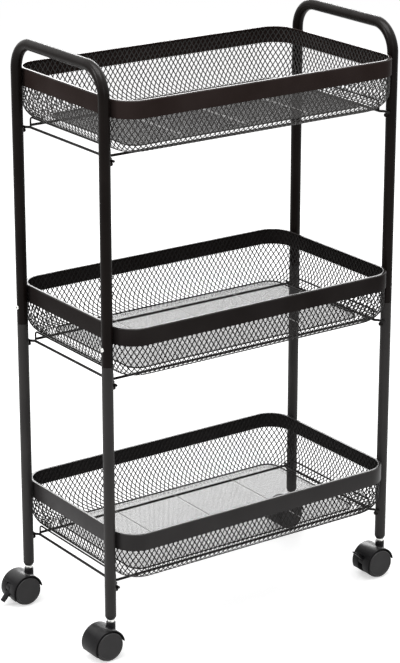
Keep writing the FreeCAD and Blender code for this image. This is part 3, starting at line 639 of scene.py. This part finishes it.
# The wheel under the disc is painted far darker than the disc: painted shade, so that the slot round the
# disc looks black.
SLOT_SHADED_TREAD_PLASTIC = plastic_finish(
    "wheel_tread_painted_shade_plastic", dark=(0.006, 0.0057, 0.0058), light=(0.0095, 0.0091, 0.0093),
    sheen=0.55, specular=0.1)
CAP_PLASTIC = plastic_finish(
    "wheel_cap_plastic", dark=(0.022, 0.0212, 0.0216), light=(0.029, 0.028, 0.0285),
    sheen=0.5, specular=0.2, painted_gloss_amount=1.0, highlight_span=(0.15, 0.5))
INSERT_PLASTIC = plastic_finish(
    "leg_insert_plastic", dark=(0.012, 0.0115, 0.0115), light=(0.018, 0.0175, 0.0175),
    sheen=0.5, specular=0.4)
ZINC = zinc_finish("zinc_plate", dark=(0.62, 0.62, 0.6), light=(0.78, 0.78, 0.76))

DRAWN_MESH = drawn_mesh_tree()
BENT_ROD = bent_rod_tree()
FASTENERS = fastener_tree()


# Shapes

# Points nearer than this are one point
SAME_POINT = 1e-7


def arc(centre, radius, first, last, steps):
    """Points (a, b) round part of a circle; the angles are in degrees."""
    angles = [math.radians(first + (last - first) * step / steps) for step in range(steps + 1)]
    return [(centre[0] + radius * math.cos(angle), centre[1] + radius * math.sin(angle))
            for angle in angles]


def skin(rings, loop=False):
    """Faces between rings of equally many points, closed at both ends or running round in a loop."""
    count = len(rings[0])
    points = [point for ring in rings for point in ring]
    faces = []
    pairs = [(row, row + 1) for row in range(len(rings) - 1)]
    if loop:
        pairs.append((len(rings) - 1, 0))
    for row, after in pairs:
        for side in range(count):
            beside = (side + 1) % count
            faces.append((
                row * count + side, row * count + beside, after * count + beside, after * count + side))
    if not loop:
        faces.append(tuple(reversed(range(count))))
        faces.append(tuple(range((len(rings) - 1) * count, len(rings) * count)))
    return points, faces


def closed_mesh(name, points, faces):
    """A mesh with its doubles merged and its faces turned outward."""
    mesh = mesh_of(name, points, faces=faces)
    shape = bmesh.new()
    shape.from_mesh(mesh)
    bmesh.ops.remove_doubles(shape, verts=shape.verts, dist=SAME_POINT)
    bmesh.ops.recalc_face_normals(shape, faces=shape.faces)
    shape.to_mesh(mesh)
    shape.free()
    return mesh


def tube(name, line, radius, sides, chamfer):
    """A round bar along a line in one plane of constant X, with its two ends chamfered."""
    first, last = Vector(line[0]), Vector(line[-1])
    lead = (Vector(line[1]) - first).normalized()
    tail = (last - Vector(line[-2])).normalized()
    stations = [(first, radius - chamfer), (first + lead * chamfer, radius)]
    stations += [(Vector(point), radius) for point in line[1:-1]]
    stations += [(last - tail * chamfer, radius), (last, radius - chamfer)]
    places = [station[0] for station in stations]
    across = Vector((1, 0, 0))
    rings = []
    for index, (place, size) in enumerate(stations):
        before = places[max(index - 1, 0)]
        after = places[min(index + 1, len(places) - 1)]
        along = (after - before).normalized()
        up = along.cross(across)
        rings.append([
            place + (across * math.cos(turn) + up * math.sin(turn)) * size
            for turn in (math.tau * side / sides for side in range(sides))])
    return closed_mesh(name, *skin(rings))


def turned(name, profile, sides, origin=(0, 0, 0), axis=(0, 0, 1)):
    """Turns an outline of (along, radius) points about an axis through the origin."""
    along = Vector(axis).normalized()
    aside = along.orthogonal().normalized()
    third = along.cross(aside)
    rings = []
    for side in range(sides):
        angle = math.tau * side / sides
        outward = aside * math.cos(angle) + third * math.sin(angle)
        rings.append([Vector(origin) + along * step + outward * radius for step, radius in profile])
    return closed_mesh(name, *skin(rings, loop=True))


def rounded_rectangle(half_x, half_y, corner, steps):
    """Corner points of a rounded rectangle, anticlockwise, each with its outward direction."""
    line = []
    for quarter, (side_x, side_y) in enumerate(((1, 1), (-1, 1), (-1, -1), (1, -1))):
        centre = Vector((side_x * (half_x - corner), side_y * (half_y - corner), 0))
        for step in range(steps + 1):
            angle = math.radians(90 * quarter + 90 * step / steps)
            outward = Vector((math.cos(angle), math.sin(angle), 0))
            line.append((centre + outward * corner, outward))
    return line


def joined(name, pieces):
    """One piece from several meshes that share a finish."""
    shape = bmesh.new()
    for piece in pieces:
        shape.from_mesh(piece.data)
        bpy.data.objects.remove(piece)
    return new_object(name, mesh_from(shape, name))


def lines_mesh(name, lines):
    """A mesh of loose edges along lines of points; each line is (points, closed)."""
    points, edges = [], []
    for line, closed in lines:
        start = len(points)
        points += line
        edges += [(start + step, start + step + 1) for step in range(len(line) - 1)]
        if closed:
            edges.append((len(points) - 1, start))
    return mesh_of(name, points, edges)


def rods(name, lines, radius, sides=WIRE_SIDES, finish=WIRE_COAT, bend=0.0):
    """Round rods along lines, with their corners bent to a radius."""
    settings = {
        "Rod Radius": radius, "Bend Radius": bend, "Bend Steps": WIRE_BEND_STEPS, "Sides": sides,
        "Finish": finish,
    }
    return grow(name, lines_mesh(f"{name}_line", lines), BENT_ROD, settings)


def set_fasteners(name, places, shape, material):
    """Copies a shape to each (place, facing) and removes the pattern."""
    source = mesh_of(f"{name}_places", [place for place, way in places])
    set_vectors(source, "facing", [way for place, way in places])
    piece = grow(name, source, FASTENERS, {"Shape": shape, "Finish": material})
    bpy.data.objects.remove(shape)
    return piece


# Frames and legs

def build_frames():
    """The two bent tube ends, each one tube from joint to joint over the handle bar."""
    for name, side in (("left_frame", -1), ("right_frame", 1)):
        x = LEG_X * side
        low = HANDLE_Z - HANDLE_BEND
        reach = LEG_Y - HANDLE_BEND
        line = [(x, LEG_Y, JOINT_Z)]
        line += [(x, y, z) for y, z in arc((reach, low), HANDLE_BEND, 0, 90, BEND_STEPS)]
        line += [(x, y, z) for y, z in arc((-reach, low), HANDLE_BEND, 90, 180, BEND_STEPS)]
        line.append((x, -LEG_Y, JOINT_Z))
        bar = tube(name, line, TUBE_RADIUS, TUBE_SIDES, TUBE_END_CHAMFER)
        finish_piece(new_object(f"{name}_tube", bar), FRAME_COAT, "trolley", [name])


def build_legs():
    """The four straight tubes under the uprights."""
    for leg, (side_x, side_y) in LEGS.items():
        x, y = LEG_X * side_x, LEG_Y * side_y
        middle = (JOINT_Z + LEG_END_Z) / 2
        line = [(x, y, JOINT_Z), (x, y, middle), (x, y, LEG_END_Z)]
        bar = tube(f"{leg}_leg", line, TUBE_RADIUS, TUBE_SIDES, TUBE_END_CHAMFER)
        finish_piece(new_object(f"{leg}_leg_tube", bar), LEG_COAT, "trolley", [f"{leg}_leg"])


def coat_hidden_sleeves():
    """The sleeves inside the joints keep their shape and get the zinc finish."""
    for leg in LEGS:
        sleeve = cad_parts[f"{leg}_joint_sleeve"]
        sleeve.data.materials.clear()
        sleeve.data.materials.append(ZINC)


# Baskets

def band_section():
    """The section of strip, rolled edge and lip, as (outward, up) points from the outer top corner."""
    inner_round = LIP_ROUND - BAND_THICKNESS
    edge = BAND_THICKNESS / 2
    section = [(-BAND_THICKNESS, edge - BAND_HEIGHT)]
    section += arc((-edge, edge - BAND_HEIGHT), edge, 180, 360, STRIP_EDGE_STEPS)
    section += arc((-LIP_ROUND, -LIP_ROUND), LIP_ROUND, 0, 90, LIP_STEPS)
    section += arc((edge - LIP_WIDTH, -edge), edge, 90, 270, STRIP_EDGE_STEPS)
    section += arc((-LIP_ROUND, -LIP_ROUND), inner_round, 90, 0, LIP_INNER_STEPS)
    return section


def build_bands():
    """The coated strip round each basket's top, with its upper edge rolled inward into a lip."""
    line = rounded_rectangle(BAND_HIGH.x, BAND_HIGH.y, BAND_CORNER, CORNER_STEPS)
    section = band_section()
    for basket in BASKETS:
        rim = Vector((0, 0, RIM_Z[basket]))
        rings = [[place + rim + outward * a + Vector((0, 0, b)) for a, b in section]
                 for place, outward in line]
        strip = closed_mesh(f"{basket}_band", *skin(rings, loop=True))
        piece = new_object(f"{basket}_band_strip", strip)
        # Each basket's band takes its own lit or shaded copy of the coat.
        finish_piece(piece, LIT_AND_SHADED_BAND_COATS[basket], "trolley", [f"{basket}_basket_band"])


def platform_outline():
    """The raised bottom's outline, point for point beside the wall's plan."""
    half_x = MESH_HIGH.x - PLATFORM_INSET
    half_y = MESH_HIGH.y - PLATFORM_INSET
    line = rounded_rectangle(half_x, half_y, PLATFORM_CORNER, CORNER_STEPS)
    return [place for place, outward in line]


def wall_plan(name):
    """The wall's plan as a loop of edges; each point carries the place where it meets the bottom."""
    half_x = MESH_HIGH.x - STRAND_RADIUS
    half_y = MESH_HIGH.y - STRAND_RADIUS
    wall = rounded_rectangle(half_x, half_y, MESH_CORNER, CORNER_STEPS)
    mesh = lines_mesh(name, [([place for place, outward in wall], True)])
    set_vectors(mesh, "foot", platform_outline())
    return mesh


def clipped(start, end, outline):
    """The stretch of a line, as two shares of its length, inside an anticlockwise convex outline."""
    enter, leave = 0.0, 1.0
    way = end - start
    for corner, after in zip(outline, outline[1:] + outline[:1]):
        side = after - corner
        outward = Vector((side.y, -side.x, 0))
        speed = outward.dot(way)
        gap = outward.dot(corner - start)
        if speed > 0:
            leave = min(leave, gap / speed)
        elif speed < 0:
            enter = max(enter, gap / speed)
        elif gap < 0:
            return None
    return (enter, leave) if leave > enter else None


def crease_rise(x, y):
    """How far a crease lifts the fine mesh at a place."""
    aside = min(abs(x - crease) for crease in CREASES_X) / CREASE_HALF_WIDTH
    fade = (CREASE_REACH - abs(y)) / CREASE_FADE
    return CREASE_RISE * max(0.0, 1 - aside) * min(max(fade, 0.0), 1.0)


def fine_strands(z):
    """The lines of the fine mesh across the raised bottom, bent where they cross a crease."""
    outline = platform_outline()
    reach_y = MESH_HIGH.y - PLATFORM_INSET
    slant = FINE_WIDTH / FINE_HEIGHT
    columns = int((MESH_HIGH.x + reach_y * slant) / FINE_WIDTH)
    kinks = [crease + step * CREASE_HALF_WIDTH for crease in CREASES_X for step in (-1, 0, 1)]
    lines = []
    for lean in (-slant, slant):
        for column in range(-columns, columns + 1):
            middle = column * FINE_WIDTH
            start = Vector((middle - lean * reach_y, -reach_y, 0))
            end = Vector((middle + lean * reach_y, reach_y, 0))
            inside = clipped(start, end, outline)
            if inside is None:
                continue
            shares = [(kink - start.x) / (end.x - start.x) for kink in kinks]
            shares = sorted([*inside, *[share for share in shares if inside[0] < share < inside[1]]])
            places = [start.lerp(end, share) for share in shares]
            lines.append(([(p.x, p.y, z + crease_rise(p.x, p.y)) for p in places], False))
    return lines


def crest_lines(z):
    """The crest of each crease, which sinks into the raised bottom at both ends."""
    crest_z = z + CREASE_RISE
    level_end = CREASE_REACH - CREASE_FADE
    return [([(x, -CREASE_REACH, z), (x, -level_end, crest_z), (x, level_end, crest_z),
              (x, CREASE_REACH, z)], False) for x in CREASES_X]


def open_mesh(basket, top, wall, coat):
    """The open diamonds of a basket's wall and foot."""
    settings = {
        "Diamonds Round": DIAMONDS_ROUND, "Diamond Height": DIAMOND_HEIGHT, "Top": top, "Wall": wall,
        "Bend": MESH_BEND, "Trough": PLATFORM_INSET - STRAND_RADIUS - MESH_BEND, "Step": PLATFORM_RISE,
        "Strand Radius": STRAND_RADIUS, "Taper": STRAND_TAPER, "Taper From": TAPER_FROM,
        "Taper To": TAPER_TO, "Strand Steps": STRAND_STEPS, "Flatness": STRAND_FLATNESS,
        "Sides": STRAND_SIDES, "Finish": coat,
    }
    return grow(f"{basket}_open_mesh", wall_plan(f"{basket}_wall_plan"), DRAWN_MESH, settings)


def build_meshes():
    """Each basket's mesh: the open diamonds, the raised bottom's fine mesh and edge, and its creases."""
    wall = MESH_DROP - STRAND_RADIUS - MESH_BEND - MESH_TOP_DROP
    for basket in BASKETS:
        # The top basket's mesh gets the lighter copy, painted light.
        coat = LIT_TOP_MESH_COAT if basket == "top" else MESH_COAT
        top = RIM_Z[basket] - MESH_TOP_DROP
        z = top - wall - MESH_BEND + PLATFORM_RISE
        edge = [(place.x, place.y, z) for place in platform_outline()]
        # The crests are painted light grey as a painted highlight.
        ridges = rods(f"{basket}_crease_ridges", crest_lines(z), CREST_RADIUS, CREST_SIDES, CREST_HIGHLIGHT_COAT)
        finish_piece(ridges, CREST_HIGHLIGHT_COAT, "trolley", [], crease=80)
        piece = joined(f"{basket}_mesh_sheet", [
            open_mesh(basket, top, wall, coat),
            rods(f"{basket}_fine_mesh", fine_strands(z), FINE_RADIUS[basket], FINE_SIDES, coat),
            rods(f"{basket}_edge", [(edge, True)], PLATFORM_EDGE_RADIUS, PLATFORM_EDGE_SIDES, coat)])
        finish_piece(piece, coat, "trolley", [f"{basket}_basket_mesh"], crease=80)


def weld_spots(name, places):
    """Small flattened weld beads where wires cross."""
    half = WELD_RADIUS * WELD_FLATNESS
    outline = [(-half, 0)]
    outline += [(-half * math.cos(turn), WELD_RADIUS * math.sin(turn))
                for turn in (math.pi * step / WELD_STEPS for step in range(1, WELD_STEPS))]
    outline.append((half, 0))
    bead = new_object(f"{name}_bead", turned(f"{name}_bead", outline, WELD_SIDES))
    return set_fasteners(name, [(place, (0, 0, 1)) for place in places], bead, WIRE_COAT)


def build_runners():
    """The two long wires under each basket, welded to the brackets at their ends."""
    for basket in BASKETS:
        node = f"{basket}_basket_runners"
        low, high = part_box(node)
        z = high.z - WIRE_RADIUS
        runners = [([(low.x, y, z), (high.x, y, z)], False) for y in (-RUNNER_Y, RUNNER_Y)]
        spots = [(x, y, z) for x in (low.x, high.x) for y in (-RUNNER_Y, RUNNER_Y)]
        piece = joined(f"{basket}_runner_wires", [
            rods(f"{basket}_runners", runners, WIRE_RADIUS),
            weld_spots(f"{basket}_runner_welds", spots)])
        finish_piece(piece, WIRE_COAT, "trolley", [node], crease=50)


def build_bracket(basket, side_name, side):
    """One basket end's wire bracket: a cross wire that rests on the leg pegs, and the bow above it."""
    node = f"{basket}_basket_{side_name}_bracket"
    low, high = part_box(node)
    outer = (low.x if side < 0 else high.x) - side * WIRE_RADIUS
    inner = (high.x if side < 0 else low.x) + side * WIRE_RADIUS
    z = low.z + WIRE_RADIUS
    end = high.y
    jog = RUNNER_Y + WIRE_RADIUS
    step = abs(outer - inner)
    cross = [
        (outer, -end, z), (outer, -jog - step, z), (inner, -jog, z),
        (inner, jog, z), (outer, jog + step, z), (outer, end, z)]
    top = z + BRACKET_RISE
    bow = [(inner, -RUNNER_Y, z), (inner, -RUNNER_Y, top), (inner, RUNNER_Y, top), (inner, RUNNER_Y, z)]
    piece = joined(f"{basket}_{side_name}_bracket_wire", [
        rods(f"{basket}_{side_name}_cross", [(cross, False)], WIRE_RADIUS, bend=CROSS_BEND),
        rods(f"{basket}_{side_name}_bow", [(bow, False)], BOW_WIRE_RADIUS, bend=BOW_BEND),
        weld_spots(f"{basket}_{side_name}_welds", [(inner, -RUNNER_Y, z), (inner, RUNNER_Y, z)])])
    finish_piece(piece, WIRE_COAT, "trolley", [node], crease=50)


def build_brackets():
    for basket in BASKETS:
        build_bracket(basket, "left", -1)
        build_bracket(basket, "right", 1)


# Casters

def softened(node, edge):
    """A copy of a node's shape with its doubles merged and its sharp edges rounded."""
    shape = bmesh.new()
    shape.from_mesh(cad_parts[node].data)
    bmesh.ops.remove_doubles(shape, verts=shape.verts, dist=LOOSE_GAP)
    bmesh.ops.dissolve_limit(shape, angle_limit=FLAT_ANGLE, verts=shape.verts, edges=shape.edges)
    sharp = [line for line in shape.edges
             if len(line.link_faces) == 2 and line.calc_face_angle(0) > SHARP_ANGLE]
    bmesh.ops.bevel(shape, geom=sharp, offset=edge, offset_type="OFFSET", segments=EDGE_SEGMENTS,
                    profile=0.5, affect="EDGES", clamp_overlap=True)
    return mesh_from(shape, f"{node}_shape")


def wheel_cap(node, hood, side):
    """The disc over a wheel's outer face: a rounded edge just proud of the hood, a ring, a dished middle."""
    wheel_low, wheel_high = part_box(node)
    hood_low, hood_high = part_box(hood)
    face = wheel_low.y if side < 0 else wheel_high.y
    depth = abs((hood_low.y if side < 0 else hood_high.y) - face) + CAP_PROUD
    ring = CAP_RADIUS - CAP_RING
    profile = [(-CAP_SEAT, 0), (-CAP_SEAT, CAP_RADIUS)]
    profile += arc((depth - CAP_EDGE, CAP_RADIUS - CAP_EDGE), CAP_EDGE, 90, 0, CAP_EDGE_STEPS)
    profile += [(depth, ring), (depth - CAP_DISH, ring - CAP_DISH), (depth - CAP_DISH, 0)]
    centre = ((wheel_low.x + wheel_high.x) / 2, face, (wheel_low.z + wheel_high.z) / 2)
    return turned(f"{node}_cap", profile, CAP_SIDES, centre, (0, side, 0))


def build_wheels():
    """The eight wheels, each with its tread's edges rounded and a disc over its outer face."""
    for leg in LEGS:
        for face, side in (("front", -1), ("back", 1)):
            node = f"{leg}_wheel_{face}"
            tread = new_object(f"{node}_piece", softened(node, MOULDED_EDGE))
            finish_piece(tread, SLOT_SHADED_TREAD_PLASTIC, f"{node}_body", [node])
            cap = new_object(f"{node}_cap_disc", wheel_cap(node, f"{leg}_caster_hood", side))
            finish_piece(cap, CAP_PLASTIC, f"{node}_body", [])


def build_casters():
    """Stems, inserts, hoods, axles and levers, with moulded edges rounded."""
    for leg in LEGS:
        parts = [
            ("leg_insert", INSERT_EDGE, INSERT_PLASTIC, "trolley", "caster_plastic"),
            ("caster_stem", STEM_EDGE, ZINC, "trolley", "zinc"),
            ("caster_hood", MOULDED_EDGE, HOOD_PLASTIC, f"{leg}_caster", "caster_plastic"),
            ("caster_axle", AXLE_EDGE, ZINC, f"{leg}_caster", "zinc")]
        if leg in LEVER_LEGS:
            parts.append((
                "brake_lever", MOULDED_EDGE, HOOD_PLASTIC, f"{leg}_brake_lever_body", "caster_plastic"))
        for part, edge, material, body, slot in parts:
            node = f"{leg}_{part}"
            piece = new_object(f"{node}_piece", softened(node, edge))
            finish_piece(piece, material, body, [node])


# Screws and pegs

def recess_cutter(size, height, turn):
    """A block that cuts one arm of the cross recess into the top of a screw head."""
    shape = bmesh.new()
    bmesh.ops.create_cube(shape, size=1.0)
    turned_up = Matrix.Rotation(turn, 4, "Z") @ Matrix.Translation((0, 0, height))
    shape.transform(turned_up @ Matrix.Diagonal(size))
    return new_object("screw_slot", mesh_from(shape, "screw_slot"))


def cut_away(piece, cutter):
    """Cuts one shape out of another and removes the cutter."""
    cut = piece.modifiers.new("cut", "BOOLEAN")
    cut.operation = "DIFFERENCE"
    cut.object = cutter
    piece.data = evaluated(piece)
    bpy.data.objects.remove(cutter)


def pan_head():
    """One joint screw's pan head with a cross recess, its top facing +Z and its seat at Z = 0."""
    radius = (SCREW_HIGH.z - SCREW_LOW.z) / 2
    height = SCREW_HIGH.x - LEG_X - TUBE_RADIUS
    dome = [(height * math.sin(turn), radius * math.cos(turn) ** DOME_FULLNESS)
            for turn in (math.pi / 2 * step / DOME_STEPS for step in range(DOME_STEPS))]
    profile = [(-SCREW_SEAT, 0), (-SCREW_SEAT, radius), *dome, (height, 0)]
    head = new_object("screw_head", turned("screw_head", profile, SCREW_SIDES))
    size = (radius * RECESS_REACH, RECESS_WIDTH, height * RECESS_HEIGHT, 1)
    for turn in (0, math.pi / 2):
        cut_away(head, recess_cutter(size, height, turn))
    return head


def build_screws():
    """The four joint screws, each on the outer side of its upright."""
    z = (SCREW_LOW.z + SCREW_HIGH.z) / 2
    places = [((side_x * (LEG_X + TUBE_RADIUS), side_y * LEG_Y, z), (side_x, 0, 0))
              for side_x, side_y in LEGS.values()]
    piece = set_fasteners("joint_screw_heads", places, pan_head(), ZINC)
    finish_piece(piece, ZINC, "trolley", ["joint_screws"], crease=40)


def peg_shape():
    """One peg with a rounded end, pointing along +Z from the leg's side at Z = 0."""
    tip_x = min(abs(vertex.co.x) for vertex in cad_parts["basket_pegs"].data.vertices)
    reach = LEG_X - TUBE_RADIUS - tip_x
    centre = (reach - PEG_ROUND, PEG_RADIUS - PEG_ROUND)
    end = arc(centre, PEG_ROUND, 90, 0, PEG_ROUND_STEPS)
    profile = [(-PEG_SEAT, 0), (-PEG_SEAT, PEG_RADIUS), *end, (reach, 0)]
    return new_object("peg_shape", turned("peg_shape", profile, PEG_SIDES))


def build_pegs():
    """The domed pegs on the legs' inner sides that carry the brackets."""
    places = []
    for basket in BASKETS:
        bracket_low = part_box(f"{basket}_basket_left_bracket")[0].z
        z = bracket_low - PEG_RADIUS - PEG_GAP
        for side_x, side_y in LEGS.values():
            places.append(((side_x * (LEG_X - TUBE_RADIUS), side_y * LEG_Y, z), (-side_x, 0, 0)))
    piece = set_fasteners("basket_peg_heads", places, peg_shape(), FRAME_COAT)
    finish_piece(piece, FRAME_COAT, "trolley", ["basket_pegs"], crease=40)


build_frames()
build_legs()
build_bands()
build_meshes()
build_runners()
build_brackets()
build_casters()
build_wheels()
build_screws()
build_pegs()
coat_hidden_sleeves()


# Studio

FLOOR_SIZE = 40.0
FLOOR_TONE = (0.86, 0.86, 0.86, 1)
WHITE = (1, 1, 1, 1)
BACKGROUND_GLOW = 0.49
WORLD_LIGHT = 0.55

# The photograph's viewpoint, fitted to it
CAMERA_PLACE = (-1.904, -2.701, 1.5505)
CAMERA_TARGET = (-0.0081, 0.0057, 0.4065)
LENS_LENGTH = 129.9
SENSOR_WIDTH = 36.0
FARTHEST_VIEW = 100.0


def background_rays(tree):
    """1 for rays that show the background itself: straight, mirrored or through glass."""
    path = add_node(tree, "ShaderNodeLightPath").outputs
    shown = maths(tree, "MAXIMUM", path["Is Camera Ray"], path["Is Glossy Ray"])
    return maths(tree, "MAXIMUM", shown, path["Is Transmission Ray"])


def build_floor():
    """A plain white floor that shows the object's shadow."""
    half = FLOOR_SIZE / 2
    corners = [(-half, -half, 0), (half, -half, 0), (half, half, 0), (-half, half, 0)]
    floor = new_object("studio_floor", mesh_of("studio_floor", corners, faces=[(0, 1, 2, 3)]))
    material, tree, shader = new_material("studio_floor_white")
    glow = maths(tree, "MULTIPLY", background_rays(tree), BACKGROUND_GLOW)
    feed(tree, shader, {
        "Base Color": FLOOR_TONE, "Roughness": 0.9, "Specular IOR Level": 0.0, "Emission Color": WHITE,
        "Emission Strength": glow})
    floor.data.materials.append(material)


def build_world():
    """White where the background shows, and a softer light on the object."""
    world = bpy.data.worlds.new("studio")
    world.use_nodes = True
    tree = world.node_tree
    strength = span(tree, background_rays(tree), 0.0, 1.0, WORLD_LIGHT, 1.0)
    feed(tree, tree.nodes["Background"], {"Strength": strength, "Color": WHITE})
    bpy.context.scene.world = world


def aimed(name, data, place, target):
    """A lamp or camera in its place, turned to face its target."""
    holder = new_object(name, data)
    holder.location = place
    holder.rotation_euler = (Vector(target) - Vector(place)).to_track_quat("-Z", "Y").to_euler()
    return holder


def softbox(name, place, target, size, power):
    lamp = bpy.data.lights.new(name, "AREA")
    lamp.shape = "RECTANGLE"
    lamp.size, lamp.size_y = size
    lamp.energy = power
    aimed(name, lamp, place, target).visible_camera = False


def build_lamps():
    """A large soft lamp overhead, and softer ones at the side, in front and behind."""
    softbox("overhead_softbox", place=(-0.3, -0.3, 2.6), target=(0, 0, 0.4), size=(1.8, 1.4), power=32)
    softbox("side_softbox", place=(-2.0, 0.4, 1.5), target=(0, 0, 0.5), size=(0.4, 1.4), power=16)
    softbox("front_softbox", place=(-0.9, -3.2, 1.5), target=(0, 0, 0.45), size=(0.9, 1.8), power=10)
    softbox("back_softbox", place=(1.5, 2.1, 1.5), target=(0, 0, 0.5), size=(1.3, 0.6), power=20)


def build_camera():
    lens = bpy.data.cameras.new("camera")
    lens.sensor_width = SENSOR_WIDTH
    lens.lens = LENS_LENGTH
    lens.clip_end = FARTHEST_VIEW
    bpy.context.scene.camera = aimed("camera", lens, CAMERA_PLACE, CAMERA_TARGET)


build_floor()
build_world()
build_lamps()
build_camera()
bpy.context.scene.view_settings.view_transform = "Standard"
